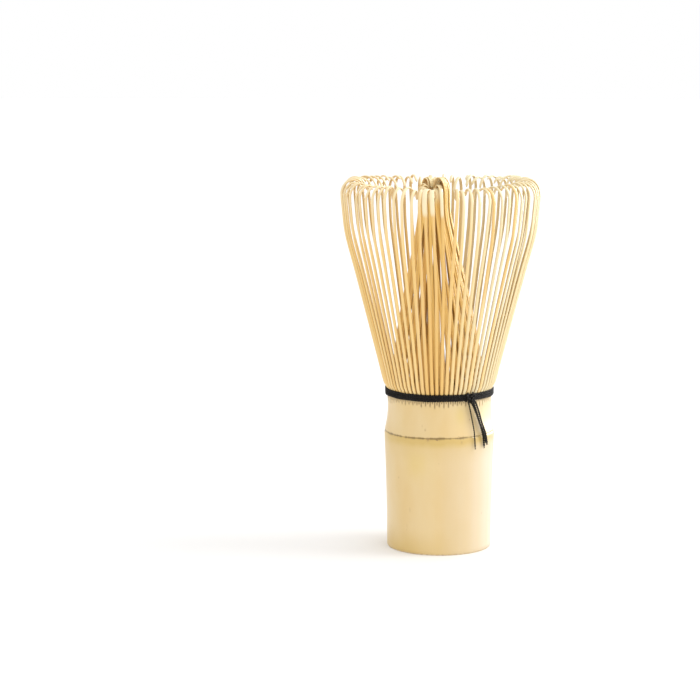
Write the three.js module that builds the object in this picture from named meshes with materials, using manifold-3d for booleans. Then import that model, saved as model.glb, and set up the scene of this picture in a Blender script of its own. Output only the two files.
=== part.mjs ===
// Bamboo tea whisk (chasen), in millimetres, +Z up, standing on the cut end of its handle at z = 0.
//
// A whisk is one length of bamboo culm. Below its node the culm stays round and hollow, as the
// handle. Above it the wall is split into splints. Each splint is split again into four thick outer
// tines, whose tips curl inward, and four thin inner tines, which lean together into a cone.
// A black thread is wound round the roots, holds the two crowns apart and ends in a knot.

import * as THREE from "three";
import { mergeVertices } from "three/addons/utils/BufferGeometryUtils.js";
import Module from "manifold-3d";

const wasm = await Module();
wasm.setup();

// ---- Driving dimensions ----

const SPLINTS = 18;
const TINES_PER_SPLINT = 4;
const SPLINT_ANGLE = (2 * Math.PI) / SPLINTS;
const TINE_ANGLE = SPLINT_ANGLE / TINES_PER_SPLINT;

const FACETS = 40; // sides of the round handle
const CULM_TOP = 46.0; // where the slits between the splints begin
const CULM_TOP_RADIUS = 15.65;
const CULM_BASE_RADIUS = 15.6;
const NODE_HEIGHT = 35.4; // the scar of the culm's node
const NODE_RADIUS = 16.5;
const WAIST_RADIUS = 15.5;
const BORE_RADIUS = 12.7;
const CUP_RADIUS = 12.9; // the hollow above the node's diaphragm
const DIAPHRAGM = 2.0;
const EDGE = 0.4; // the eased edge of the cut end

const SLIT = 0.3; // clear gap between the culm and the splints, and between one splint and the next
const ROOT_BASE = CULM_TOP + SLIT;
const ROOT_HEIGHT = 0.6;
const TINE_BASE = ROOT_BASE + ROOT_HEIGHT / 2; // each tine starts inside its root
const ROOT_LAP = 0.05; // how far a root stands proud of its tines

const THREAD = 0.5; // thread diameter
const THREAD_PITCH = 0.6; // one round above the next
const BAND_HEIGHT = 47.55; // the middle round of the binding
const BAND_CLEARANCE = 0.1;

const OUTER = {
  rootRadius: CULM_TOP_RADIUS,
  rootDepth: 0.9,
  bandTop: 48.3,
  flare: new THREE.Vector2(16.7, 49.7),
  knee: new THREE.Vector2(28.6, 96.0),
  crown: 30.2, // largest radius of the whole whisk
  crownHeight: 105.5,
  top: 110.5,
  hookReach: 3.6,
  hookTurn: THREE.MathUtils.degToRad(150),
  rootThickness: 0.6,
  tipThickness: 0.4,
  rootWidth: 0.9,
  tipWidth: 0.6,
};

const INNER = {
  rootRadius: 14.1,
  rootDepth: 0.9,
  apex: new THREE.Vector2(4.3, 102.0),
  hookHeight: 108.0,
  hookReach: 1.4,
  hookRise: 3.6,
  hookTurn: THREE.MathUtils.degToRad(90),
  rootThickness: 0.45,
  tipThickness: 0.25,
  rootWidth: 0.5,
  tipWidth: 0.2,
};

// Where the thread ends hang: [angle from the front in degrees, height, distance from the axis].
const KNOT = { angle: 33.5, height: 47.4, size: new THREE.Vector3(0.55, 1.3, 0.85) };
const TAILS = [
  [[30.6, 46.2, 17.0], [32.2, 44.6, 16.75], [35.0, 41.6, 16.6], [37.6, 37.0, 17.0], [39.1, 32.4, 16.95]],
  [[33.6, 46.2, 17.0], [38.2, 43.9, 16.75], [44.0, 40.6, 16.6], [49.3, 36.0, 17.0], [52.2, 32.2, 16.95]],
  [[36.6, 46.2, 17.0], [42.4, 43.2, 16.75], [48.8, 39.6, 16.6], [53.6, 36.2, 17.0], [57.0, 33.0, 16.95]],
  [[35.2, 46.2, 17.7], [40.2, 43.4, 17.5], [45.9, 39.8, 17.4], [51.0, 36.0, 17.75], [54.6, 32.8, 17.7]],
];

// ---- Materials ----

const culmSkin = new THREE.MeshStandardMaterial({ color: 0xe6ca90, roughness: 0.42, metalness: 0 });
const outerBamboo = new THREE.MeshStandardMaterial({ color: 0xe8c684, roughness: 0.55, metalness: 0 });
const innerBamboo = new THREE.MeshStandardMaterial({ color: 0xdcb068, roughness: 0.6, metalness: 0 });
const blackThread = new THREE.MeshStandardMaterial({ color: 0x0d0c0c, roughness: 0.85, metalness: 0 });

// ---- Helpers ----

/** A closed three.js geometry as a solid that can be joined and cut. */
function solidOf(geometry) {
  const bare = geometry.index ? geometry.toNonIndexed() : geometry.clone();
  bare.deleteAttribute("normal");
  bare.deleteAttribute("uv");
  const merged = mergeVertices(bare, 1e-4);
  return new wasm.Manifold(
    new wasm.Mesh({
      numProp: 3,
      vertProperties: merged.attributes.position.array,
      triVerts: new Uint32Array(merged.index.array),
    }),
  );
}

/** The solid's surface as a flat-shaded three.js geometry. */
function geometryOf(solid) {
  const mesh = solid.getMesh();
  const geometry = new THREE.BufferGeometry();
  geometry.setAttribute("position", new THREE.BufferAttribute(mesh.vertProperties, 3));
  geometry.setIndex(new THREE.BufferAttribute(mesh.triVerts, 1));
  const flat = geometry.toNonIndexed();
  flat.computeVertexNormals();
  return flat;
}

/** A named mesh. */
function part(name, geometry, material) {
  const mesh = new THREE.Mesh(geometry, material);
  mesh.name = name;
  return mesh;
}

/** The point at an angle from the front (-Y) towards +X, at a height and a distance from the axis. */
function aroundAxis(degrees, height, radius) {
  const angle = THREE.MathUtils.degToRad(degrees);
  return new THREE.Vector3(radius * Math.sin(angle), -radius * Math.cos(angle), height);
}

/** Two digits, so that names sort in order. */
function numbered(name, index) {
  return `${name}_${String(index + 1).padStart(2, "0")}`;
}

// ---- Handle ----

/** The culm: a tube from the cut end to the slits, closed inside by the node's diaphragm. */
function handleGeometry() {
  const underside = NODE_HEIGHT - DIAPHRAGM / 2;
  const upside = NODE_HEIGHT + DIAPHRAGM / 2;
  const bore = [
    [0, underside],
    [BORE_RADIUS - 2.2, underside - 0.3],
    [BORE_RADIUS - 0.4, underside - 1.6],
    [BORE_RADIUS, underside - 4.0],
    [BORE_RADIUS, EDGE],
    [BORE_RADIUS + EDGE, 0],
  ];
  const skin = [
    [CULM_BASE_RADIUS - EDGE, 0],
    [CULM_BASE_RADIUS, EDGE],
    [15.75, 12.0],
    [16.1, 24.0],
    [NODE_RADIUS, NODE_HEIGHT - 2.4],
    [NODE_RADIUS, NODE_HEIGHT - 0.5],
    [NODE_RADIUS - 0.25, NODE_HEIGHT],
    [NODE_RADIUS - 0.05, NODE_HEIGHT + 0.5],
    [15.8, 38.6],
    [WAIST_RADIUS, 41.6],
    [WAIST_RADIUS, 43.8],
    [CULM_TOP_RADIUS, CULM_TOP],
  ];
  const cup = [
    [CUP_RADIUS, CULM_TOP],
    [CUP_RADIUS, upside + 2.2],
    [CUP_RADIUS - 1.4, upside + 0.4],
    [0, upside],
  ];
  const profile = [...bore, ...skin, ...cup].map(([radius, height]) => new THREE.Vector2(radius, height));
  return new THREE.LatheGeometry(profile, FACETS).rotateX(Math.PI / 2);
}

// ---- Tines ----

/** The side view of a tine: its outer face, and an inner face that thins towards the tip. */
function tineOutline(face, rootThickness, tipThickness) {
  const inner = face.map((point, i) => {
    const along = face[Math.min(i + 1, face.length - 1)].clone().sub(face[Math.max(i - 1, 0)]).normalize();
    const thickness = THREE.MathUtils.lerp(rootThickness, tipThickness, i / (face.length - 1));
    return new THREE.Vector2(point.x - along.y * thickness, point.y + along.x * thickness);
  });
  return new THREE.Shape([...face, ...inner.reverse()]);
}

/** A tine standing on the +X side of the axis, narrowing from root to tip. */
function tineGeometry(face, sizes) {
  const outline = tineOutline(face, sizes.rootThickness, sizes.tipThickness);
  const tine = new THREE.ExtrudeGeometry(outline, { depth: 1, bevelEnabled: false, steps: 1 });
  tine.translate(0, 0, -0.5).rotateX(Math.PI / 2);
  const position = tine.attributes.position;
  const base = face[0].y;
  const top = Math.max(...face.map((point) => point.y));
  for (let i = 0; i < position.count; i++) {
    const share = (position.getZ(i) - base) / (top - base);
    position.setY(i, position.getY(i) * THREE.MathUtils.lerp(sizes.rootWidth, sizes.tipWidth, share));
  }
  return tine;
}

/** Outer face of an outer tine: straight through the binding, flared, then hooked inward at the tip. */
function outerFace() {
  const hook = new THREE.EllipseCurve(
    OUTER.crown - OUTER.hookReach,
    OUTER.crownHeight,
    OUTER.hookReach,
    OUTER.top - OUTER.crownHeight,
    0,
    OUTER.hookTurn,
  );
  const bend = new THREE.QuadraticBezierCurve(
    OUTER.knee,
    new THREE.Vector2(OUTER.crown, 102.0),
    new THREE.Vector2(OUTER.crown, OUTER.crownHeight),
  );
  return [
    new THREE.Vector2(OUTER.rootRadius, TINE_BASE),
    new THREE.Vector2(OUTER.rootRadius, OUTER.bandTop),
    OUTER.flare,
    ...bend.getPoints(2),
    ...hook.getPoints(4).slice(1),
  ];
}

/** Outer face of an inner tine: it leans in towards the axis and ends in a small hook. */
function innerFace() {
  const lean = new THREE.CubicBezierCurve(
    new THREE.Vector2(INNER.rootRadius, TINE_BASE),
    new THREE.Vector2(13.6, 62.0),
    new THREE.Vector2(9.8, 82.0),
    INNER.apex,
  );
  const hook = new THREE.EllipseCurve(
    INNER.apex.x - 0.2 - INNER.hookReach,
    INNER.hookHeight,
    INNER.hookReach,
    INNER.hookRise,
    0,
    INNER.hookTurn,
  );
  return [...lean.getPoints(3), ...hook.getPoints(2)];
}

/** The arc of culm wall that a splint's tines stand on. */
function rootGeometry(sizes) {
  const outside = sizes.rootRadius + ROOT_LAP;
  const half = SPLINT_ANGLE / 2 - SLIT / 2 / outside;
  const arc = new THREE.Shape();
  arc.absarc(0, 0, outside, -half, half, false);
  arc.absarc(0, 0, outside - sizes.rootDepth, half, -half, true);
  const block = new THREE.ExtrudeGeometry(arc, { depth: ROOT_HEIGHT, bevelEnabled: false, curveSegments: 3 });
  return block.translate(0, 0, ROOT_BASE);
}

/** One splint on the +X side of the axis: its root and four tines, as one solid. */
function splintGeometry(face, sizes) {
  let solid = solidOf(rootGeometry(sizes));
  for (let i = 0; i < TINES_PER_SPLINT; i++) {
    const angle = (i - (TINES_PER_SPLINT - 1) / 2) * TINE_ANGLE;
    solid = solid.add(solidOf(tineGeometry(face, sizes).rotateZ(angle)));
  }
  return geometryOf(solid);
}

/** The ring of splints, each its own mesh, turned to its place round the axis. */
function crown(name, geometry, material) {
  const ring = new THREE.Group();
  for (let i = 0; i < SPLINTS; i++) {
    const splint = part(numbered(name, i), geometry, material);
    splint.rotation.z = (i + 0.5) * SPLINT_ANGLE;
    ring.add(splint);
  }
  return ring;
}

// ---- Thread ----

/** One round of thread, with its centre line at the given radius. */
function roundGeometry(radius) {
  return new THREE.TorusGeometry(radius, THREAD / 2, 5, 36);
}

/** The knot: a small flattened lump, long way round the whisk. */
function knotGeometry() {
  const lump = new THREE.SphereGeometry(1, 10, 6);
  return lump.scale(KNOT.size.x, KNOT.size.y, KNOT.size.z);
}

/** A loose thread end, along the smooth curve through its points. */
function tailGeometry(points) {
  const path = new THREE.CatmullRomCurve3(points.map((point) => aroundAxis(...point)));
  const section = new THREE.Shape();
  section.absarc(0, 0, THREAD / 2, 0, 2 * Math.PI, false);
  return new THREE.ExtrudeGeometry(section, { extrudePath: path, steps: 10, curveSegments: 4 });
}

/** The binding: three rounds outside the roots, one between the crowns, the knot and its ends. */
function binding() {
  const group = new THREE.Group();
  const outside = OUTER.rootRadius + BAND_CLEARANCE + THREAD / 2;
  ["lower", "middle", "upper"].forEach((level, i) => {
    const round = part(`thread_round_${level}`, roundGeometry(outside), blackThread);
    round.position.z = BAND_HEIGHT + (i - 1) * THREAD_PITCH;
    group.add(round);
  });
  const between = OUTER.rootRadius - OUTER.rootThickness - BAND_CLEARANCE - THREAD / 2;
  const inner = part("thread_round_inner", roundGeometry(between), blackThread);
  inner.position.z = BAND_HEIGHT;
  group.add(inner);
  const knot = part("thread_knot", knotGeometry(), blackThread);
  const knotRadius = outside + THREAD / 2 + BAND_CLEARANCE + KNOT.size.x;
  knot.position.copy(aroundAxis(KNOT.angle, KNOT.height, knotRadius));
  knot.rotation.z = THREE.MathUtils.degToRad(KNOT.angle - 90);
  group.add(knot);
  TAILS.forEach((points, i) => group.add(part(`thread_tail_${i + 1}`, tailGeometry(points), blackThread)));
  return group;
}

// ---- Assembly ----

const whisk = new THREE.Group();
whisk.add(part("handle", handleGeometry(), culmSkin));
whisk.add(crown("outer_splint", splintGeometry(outerFace(), OUTER), outerBamboo));
whisk.add(crown("inner_splint", splintGeometry(innerFace(), INNER), innerBamboo));
whisk.add(binding());

export default whisk;
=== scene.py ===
"""A bamboo tea whisk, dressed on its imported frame.

One length of culm is the whole whisk: round below its node as the handle, and split and shaved above it
into two crowns of tines. A black thread parts the crowns and ends in a knot. Lengths are in metres. Turns
are angles round the whisk, measured from the front, -Y, towards +X.
"""

import logging
import math
import random
from dataclasses import dataclass, field
from enum import IntEnum
from typing import Callable, Sequence

import bpy
import numpy as np
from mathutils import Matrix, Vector, noise


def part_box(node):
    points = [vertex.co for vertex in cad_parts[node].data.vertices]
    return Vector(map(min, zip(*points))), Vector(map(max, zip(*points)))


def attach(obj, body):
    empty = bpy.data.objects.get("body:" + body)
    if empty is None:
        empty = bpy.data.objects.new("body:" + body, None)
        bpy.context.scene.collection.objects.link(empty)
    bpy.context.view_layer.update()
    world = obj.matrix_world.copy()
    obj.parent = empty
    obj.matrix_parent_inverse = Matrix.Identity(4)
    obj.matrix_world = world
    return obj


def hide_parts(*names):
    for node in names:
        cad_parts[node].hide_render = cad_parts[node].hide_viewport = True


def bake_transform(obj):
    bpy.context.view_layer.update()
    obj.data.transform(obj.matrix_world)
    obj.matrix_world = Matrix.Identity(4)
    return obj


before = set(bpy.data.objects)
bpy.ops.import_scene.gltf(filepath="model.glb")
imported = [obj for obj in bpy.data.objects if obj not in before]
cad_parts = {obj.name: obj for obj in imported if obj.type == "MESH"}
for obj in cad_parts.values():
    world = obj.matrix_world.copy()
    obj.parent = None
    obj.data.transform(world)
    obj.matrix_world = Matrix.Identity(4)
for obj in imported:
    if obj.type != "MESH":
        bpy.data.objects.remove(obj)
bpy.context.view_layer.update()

MM = 0.001
HANDLE = "handle"
Colour = tuple[float, float, float]
log = logging.getLogger("whisk")


# ---- Measures of the frame ----


def mm(*lengths: float) -> tuple[float, ...]:
    """Lengths given in millimetres, in metres."""
    return tuple(length * MM for length in lengths)


def nodes_named(start: str) -> list[str]:
    """The frame's nodes whose names begin with start, in order."""
    return sorted(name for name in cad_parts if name.startswith(start))


OUTER_NODES = nodes_named("outer_splint_")
INNER_NODES = nodes_named("inner_splint_")
TAIL_NODES = nodes_named("thread_tail_")
CULM_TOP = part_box(HANDLE)[1].z
CULM_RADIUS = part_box(HANDLE)[1].x
CROWN_TOP = max(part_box(node)[1].z for node in OUTER_NODES)
CROWN_RADIUS = max(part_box(node)[1].x for node in OUTER_NODES)
BAND_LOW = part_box("thread_round_lower")[0].z
BAND_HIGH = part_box("thread_round_upper")[1].z
BAND_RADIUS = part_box("thread_round_middle")[1].x
TINES_PER_SPLINT = 4
SPLINT_ANGLE = 2 * math.pi / len(OUTER_NODES)
TINE_ANGLE = SPLINT_ANGLE / TINES_PER_SPLINT
TINE_STEPS = [i - (TINES_PER_SPLINT - 1) / 2 for i in range(TINES_PER_SPLINT)]


def out_from_axis(turn: float) -> Vector:
    """The level direction that points away from the whisk's axis at a turn."""
    return Vector((math.sin(turn), -math.cos(turn), 0.0))


def round_axis(turn: float) -> Vector:
    """The level direction that runs round the whisk at a turn, towards larger turns."""
    return Vector((math.cos(turn), math.sin(turn), 0.0))


def place(turn: float, radius: float, height: float) -> Vector:
    """The point at a turn, a distance from the axis and a height."""
    return out_from_axis(turn) * radius + Vector((0.0, 0.0, height))


def splint_turn(index: int) -> float:
    """The turn at the middle of a splint, counted as the frame's nodes are, from +X."""
    return (index + 0.5) * SPLINT_ANGLE + math.pi / 2


def from_front(turn: np.ndarray | float) -> np.ndarray | float:
    """A turn brought between half a turn to the left of the front and half a turn to its right."""
    return (turn + math.pi) % (2 * math.pi) - math.pi


def noise_round(turn: float, fineness: float, level: float) -> float:
    """Smooth noise between -1 and 1 that joins up with itself round the whisk. Each level has its own."""
    return noise.noise(Vector((math.sin(turn) * fineness, math.cos(turn) * fineness, level)))


# ---- Node trees ----


class Wire:
    """A node's output. Python's operators carry it on into Math nodes."""

    def __init__(self, bench: "Bench", socket: bpy.types.NodeSocket) -> None:
        """Wraps one output socket of the bench's node tree."""
        self.bench = bench
        self.socket = socket

    def maths(self, operation: str, *values: "Wire | float") -> "Wire":
        """A Math node's result.

        Args:
            operation: the Math node's operation.
            values: its inputs, in order.

        Returns:
            The node's output.
        """
        return self.bench.node("ShaderNodeMath", {"operation": operation}, dict(enumerate(values)))

    def __add__(self, other: "Wire | float") -> "Wire":
        """self + other."""
        return self.maths("ADD", self, other)

    def __radd__(self, other: "Wire | float") -> "Wire":
        """other + self."""
        return self.maths("ADD", other, self)

    def __sub__(self, other: "Wire | float") -> "Wire":
        """self - other."""
        return self.maths("SUBTRACT", self, other)

    def __rsub__(self, other: "Wire | float") -> "Wire":
        """other - self."""
        return self.maths("SUBTRACT", other, self)

    def __mul__(self, other: "Wire | float") -> "Wire":
        """self * other."""
        return self.maths("MULTIPLY", self, other)

    def __rmul__(self, other: "Wire | float") -> "Wire":
        """other * self."""
        return self.maths("MULTIPLY", other, self)

    def between(self, low: float, high: float) -> "Wire":
        """0 below low, 1 above high, and a smooth step between. It falls instead if low is above high.

        Args:
            low: where the step starts.
            high: where it ends.

        Returns:
            The step, from 0 to 1.
        """
        settings = {"interpolation_type": "SMOOTHSTEP", "clamp": True}
        values = {"Value": self, "From Min": min(low, high), "From Max": max(low, high)}
        step = self.bench.node("ShaderNodeMapRange", settings, values)
        return step if low < high else 1 - step


class Bench:
    """One material's node tree, with its Principled shader and output."""

    def __init__(self, name: str) -> None:
        """Starts an empty material of that name."""
        self.material = bpy.data.materials.new(name)
        self.material.use_nodes = True
        self.tree = self.material.node_tree
        self.tree.nodes.clear()
        self.shader = self.tree.nodes.new("ShaderNodeBsdfPrincipled")
        output = self.tree.nodes.new("ShaderNodeOutputMaterial")
        self.tree.links.new(self.shader.outputs["BSDF"], output.inputs["Surface"])

    def node(
        self,
        kind: str,
        settings: dict[str, object] | None = None,
        inputs: dict[str | int, object] | None = None,
        output: str | int = 0,
    ) -> Wire:
        """Adds any node.

        Args:
            kind: the node's type.
            settings: its properties, set before its sockets.
            inputs: a Wire or a plain value for each socket, by name or by number.
            output: the socket to return.

        Returns:
            That output as a Wire.
        """
        made = self.tree.nodes.new(kind)
        for key, value in (settings or {}).items():
            setattr(made, key, value)
        for key, value in (inputs or {}).items():
            self.feed(made.inputs[key], value)
        return Wire(self, made.outputs[output])

    def feed(self, socket: bpy.types.NodeSocket, value: object) -> None:
        """Links a Wire to a socket, or sets the socket's own value.

        Args:
            socket: the input to set.
            value: a Wire, or a plain value.
        """
        if isinstance(value, Wire):
            self.tree.links.new(value.socket, socket)
        elif socket.type == "RGBA" and len(value) == 3:
            socket.default_value = (*value, 1.0)
        else:
            socket.default_value = value

    def finish(self, **inputs: object) -> bpy.types.Material:
        """Feeds the Principled shader, with underscores for the spaces in its sockets' names."""
        for name, value in inputs.items():
            self.feed(self.shader.inputs[name.replace("_", " ")], value)
        return self.material

    def attribute(self, name: str, output: str = "Fac") -> Wire:
        """What the mesh holds at each point under that name."""
        return self.node("ShaderNodeAttribute", {"attribute_name": name}, output=output)

    def own_place(self) -> Wire:
        """Each point's place in the piece's own frame."""
        return self.node("ShaderNodeTexCoord", output="Object")

    def stretched(self, vector: Wire, scale: Sequence[float]) -> Wire:
        """A vector with each axis scaled."""
        return self.node("ShaderNodeVectorMath", {"operation": "MULTIPLY"}, {0: vector, 1: tuple(scale)})

    def grainy(self, vector: Wire, grain: "Grain") -> Wire:
        """Smooth noise from 0 to 1 over a vector.

        Args:
            vector: where to read the noise.
            grain: its scale, detail and roughness.

        Returns:
            The noise.
        """
        inputs = {"Vector": self.stretched(vector, grain.per_metre), "Scale": 1.0, "Detail": grain.detail}
        noisy = self.node("ShaderNodeTexNoise", {}, inputs)
        return noisy.between(*grain.span) if grain.span else noisy

    def mixed(self, share: Wire | float, first: object, second: object) -> Wire:
        """Two colours mixed, with share as the second one's part.

        Args:
            share: the second colour's part, from 0 to 1.
            first: a colour.
            second: another.

        Returns:
            The mix.
        """
        settings = {"data_type": "RGBA", "blend_type": "MIX", "clamp_factor": True}
        inputs = {0: share, 6: first, 7: second}
        return self.node("ShaderNodeMix", settings, inputs, output=2)

    def bump(self, height: Wire, strength: float, distance: float) -> Wire:
        """A normal raised by a height."""
        return self.node("ShaderNodeBump", {}, {"Strength": strength, "Distance": distance, "Height": height})


# ---- Finishes ----


@dataclass(frozen=True)
class Grain:
    """One noise of a finish: its fineness along each axis, its detail, and the span stretched to 0 to 1."""

    per_metre: tuple[float, float, float]
    detail: float = 2.0
    span: tuple[float, float] | None = None


@dataclass(frozen=True)
class CulmSkin:
    """The culm's smooth outside: pale, faintly streaked, with a brown scar at the node and stray specks, and
    with painted light on its right and painted shade in the slits, at the foot and by the knot.
    """

    pale: Colour = (0.755, 0.570, 0.290)
    warm: Colour = (0.730, 0.520, 0.225)
    green: Colour = (0.640, 0.440, 0.130)
    # Golden patches, one of them painted shade below the knot.
    gold_and_knot_shade: Colour = (0.735, 0.535, 0.170)
    # Painted light: the skin's paler colour on the whisk's right.
    bleached: Colour = (0.700, 0.585, 0.420)
    scar: Colour = (0.150, 0.085, 0.012)
    speck: Colour = (0.330, 0.190, 0.070)
    # Painted shade in the slits.
    slit_shade: Colour = (0.330, 0.220, 0.085)
    mottling_grain: Grain = Grain((75, 75, 38), 3.0, (0.35, 0.68))
    tint_grain: Grain = Grain((42, 42, 60), 2.0, (0.45, 0.75))
    fibre_grain: Grain = Grain((1500, 1500, 45), 3.0)
    band_grain: Grain = Grain((380, 380, 12))
    speck_grain: Grain = Grain((820, 820, 620), 1.0, (0.755, 0.785))
    stray_grain: Grain = Grain((120, 120, 120), 1.0, (0.50, 0.60))

    def make(self) -> bpy.types.Material:
        """Builds the material. Specks lie only where the stray noise lets them."""
        bench = Bench("culm_skin")
        here = bench.own_place()
        mottling = bench.grainy(here, self.mottling_grain)
        tint = bench.grainy(here, self.tint_grain)
        fibre = bench.grainy(here, self.fibre_grain)
        band = bench.grainy(here, self.band_grain)
        specks = bench.grainy(here, self.speck_grain)
        stray = bench.grainy(here, self.stray_grain)
        colour = bench.mixed(mottling, self.pale, self.warm)
        colour = bench.mixed(tint * 0.35, colour, self.green)
        colour = bench.mixed((fibre.between(0.30, 0.75) - 0.5) * 0.10 + 0.05, colour, self.warm)
        colour = bench.mixed(band.between(0.55, 0.80) * 0.16, colour, self.pale)
        # Painted light: below the node the skin is paled towards the whisk's right, as if lit from there.
        colour = bench.mixed(bench.attribute("bleach"), colour, self.bleached)
        # Golden patches of the skin, and painted shade below the knot on the waist.
        colour = bench.mixed(bench.attribute("gold_and_knot_shade"), colour, self.gold_and_knot_shade)
        # A real green stain under the node, and painted shade at the foot on the whisk's left.
        colour = bench.mixed(bench.attribute("stain_and_foot_shade"), colour, self.green)
        colour = bench.mixed(specks * stray * 0.8, colour, self.speck)
        colour = bench.mixed(bench.attribute("mark"), colour, self.speck)
        colour = bench.mixed(bench.attribute("scar"), colour, self.scar)
        # Painted shade in and beside the slits.
        colour = bench.mixed(bench.attribute("slit_shade"), colour, self.slit_shade)
        return bench.finish(
            Base_Color=colour,
            Roughness=0.40 + 0.14 * mottling + 0.10 * (1 - fibre),
            Normal=bench.bump(fibre + band * 0.6, 0.10, 0.10 * MM),
            Coat_Weight=0.55,
            Coat_Roughness=0.28,
        )


@dataclass(frozen=True)
class CutCulm:
    """The culm's sawn end and its hollow: dry fibres, with the dark dots of the vessels in the end grain."""

    fibre: Colour = (0.640, 0.450, 0.220)
    pith: Colour = (0.780, 0.660, 0.440)
    vessel: Colour = (0.300, 0.180, 0.080)
    streak_grain: Grain = Grain((1300, 1300, 70), 3.0)
    vessels_per_metre: tuple[float, float, float] = (2300, 2300, 160)
    vessel_edge: tuple[float, float] = (0.34, 0.20)

    def make(self) -> bpy.types.Material:
        """Builds the material."""
        bench = Bench("culm_cut")
        here = bench.own_place()
        streaks = bench.grainy(here, self.streak_grain)
        inputs = {"Vector": bench.stretched(here, self.vessels_per_metre), "Scale": 1.0, "Randomness": 0.9}
        dots = bench.node("ShaderNodeTexVoronoi", {}, inputs, output="Distance").between(*self.vessel_edge)
        colour = bench.mixed(streaks.between(0.3, 0.7), self.fibre, self.pith)
        colour = bench.mixed(dots * bench.attribute("end_grain"), colour, self.vessel)
        return bench.finish(
            Base_Color=colour,
            Roughness=0.72 + 0.12 * streaks,
            Normal=bench.bump(streaks - dots * 0.5, 0.35, 0.12 * MM),
        )


@dataclass(frozen=True)
class TineBamboo:
    """Split and shaved bamboo: fibres along the tine, paler at the thin tip, partly as a painted highlight,
    each tine a little different, with painted light on the whisk's right and back and painted shade along the
    split edges.
    """

    name: str
    root: Colour
    body: Colour
    tip: Colour
    deep: Colour
    # Painted light: the cream that tines on the whisk's right and back are paled towards.
    bleached: Colour = (0.800, 0.720, 0.470)
    # Painted shade along the inner edges of the split sides.
    seam: Colour = (0.270, 0.170, 0.045)
    gap_shade_depth: float = 0.78
    fade: tuple[float, float] = (0.62, 0.97)
    side_shade: float = 0.40
    root_share: float = 0.30
    deep_tones: tuple[float, float] = (0.45, 1.0)
    fibre_grain: Grain = Grain((5200, 5200, 55), 3.0)
    streak_grain: Grain = Grain((1700, 1700, 22))

    def make(self) -> bpy.types.Material:
        """Builds the material."""
        bench = Bench(self.name)
        grain = bench.attribute("grain", "Vector")
        share = bench.attribute("share")
        tone = bench.attribute("tone")
        skin = bench.attribute("skin")
        bleach = bench.attribute("bleach")
        fibre = bench.grainy(grain, self.fibre_grain)
        streak = bench.grainy(grain, self.streak_grain)
        colour = bench.mixed(share.between(0.0, self.root_share), self.root, self.body)
        colour = bench.mixed(tone.between(*self.deep_tones) * 0.75, colour, self.deep)
        # The tip is paler: partly its own colour where it is thin, partly a painted highlight where the tips
        # catch the light.
        colour = bench.mixed(share.between(*self.fade), colour, self.tip)
        # Painted light: tines on the whisk's right and round to the back are paled towards cream as if lit,
        # and their sides get less side shade.
        colour = bench.mixed(bleach * 0.9, colour, self.bleached)
        colour = bench.mixed((1 - skin) * self.side_shade * (1 - bleach * 0.8), colour, self.deep)
        # Painted shade along the inner edges of the split sides, for the shadowed gaps between tines.
        colour = bench.mixed(bench.attribute("seam") * self.gap_shade_depth, colour, self.seam)
        colour = bench.mixed(fibre.between(0.48, 0.80) * (0.34 - 0.16 * skin), colour, self.deep)
        colour = bench.mixed(streak.between(0.52, 0.72) * 0.30, colour, self.tip)
        return bench.finish(
            Base_Color=colour,
            Roughness=0.62 - 0.18 * skin + 0.12 * fibre,
            Normal=bench.bump(fibre + streak, 0.22, 0.05 * MM),
            Coat_Weight=0.25,
            Coat_Roughness=0.35,
        )


@dataclass(frozen=True)
class BlackThread:
    """Twisted black cotton, a little dusty where it catches the light."""

    black: Colour = (0.0068, 0.0050, 0.0034)
    dust: Colour = (0.050, 0.042, 0.032)
    hair_grain: Grain = Grain((9000, 9000, 1400), 3.0)
    patch_grain: Grain = Grain((900, 900, 500), 2.0, (0.4, 0.7))

    def make(self) -> bpy.types.Material:
        """Builds the material."""
        bench = Bench("black_thread")
        grain = bench.attribute("grain", "Vector")
        hairs = bench.grainy(grain, self.hair_grain)
        patches = bench.grainy(grain, self.patch_grain)
        colour = bench.mixed(hairs.between(0.55, 0.80) * patches, self.black, self.dust)
        return bench.finish(
            Base_Color=colour,
            Roughness=0.55 + 0.30 * hairs,
            Normal=bench.bump(hairs, 0.5, 0.04 * MM),
            Specular_IOR_Level=0.25,
            Sheen_Weight=0.10,
            Sheen_Roughness=0.4,
        )


@dataclass(frozen=True)
class WhitePaper:
    """The plain white sweep that the whisk stands on."""

    white: Colour = (0.93, 0.93, 0.93)
    shade: Colour = (0.90, 0.90, 0.90)
    tooth_grain: Grain = Grain((900, 900, 900))

    def make(self) -> bpy.types.Material:
        """Builds the material."""
        bench = Bench("white_paper")
        tooth = bench.grainy(bench.own_place(), self.tooth_grain)
        colour = bench.mixed(tooth * 0.02, self.white, self.shade)
        return bench.finish(Base_Color=colour, Roughness=0.9, Normal=bench.bump(tooth, 0.02, 0.05 * MM))


@dataclass(frozen=True)
class Finishes:
    """Every material of the whisk."""

    skin: bpy.types.Material
    cut: bpy.types.Material
    outer: bpy.types.Material
    inner: bpy.types.Material
    thread: bpy.types.Material

    @staticmethod
    def make() -> "Finishes":
        """Builds them all."""
        outer = TineBamboo(
            "outer_bamboo",
            root=(0.900, 0.640, 0.265),
            body=(0.885, 0.625, 0.245),
            tip=(0.900, 0.770, 0.490),
            deep=(0.780, 0.460, 0.110),
        )
        inner = TineBamboo(
            "inner_bamboo",
            root=(0.900, 0.600, 0.210),
            body=(0.880, 0.575, 0.155),
            tip=(0.880, 0.730, 0.420),
            deep=(0.700, 0.385, 0.080),
            fade=(0.87, 0.94),
            side_shade=0.30,
            gap_shade_depth=0.28,
        )
        return Finishes(CulmSkin().make(), CutCulm().make(), outer.make(), inner.make(), BlackThread().make())


# ---- Shaping ----


def smooth_step(low: float, high: float, value: np.ndarray | float) -> np.ndarray | float:
    """0 at low, 1 at high, and a smooth step between. It falls instead if low is above high."""
    share = np.clip((value - low) / (high - low), 0.0, 1.0)
    return share * share * (3 - 2 * share)


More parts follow.
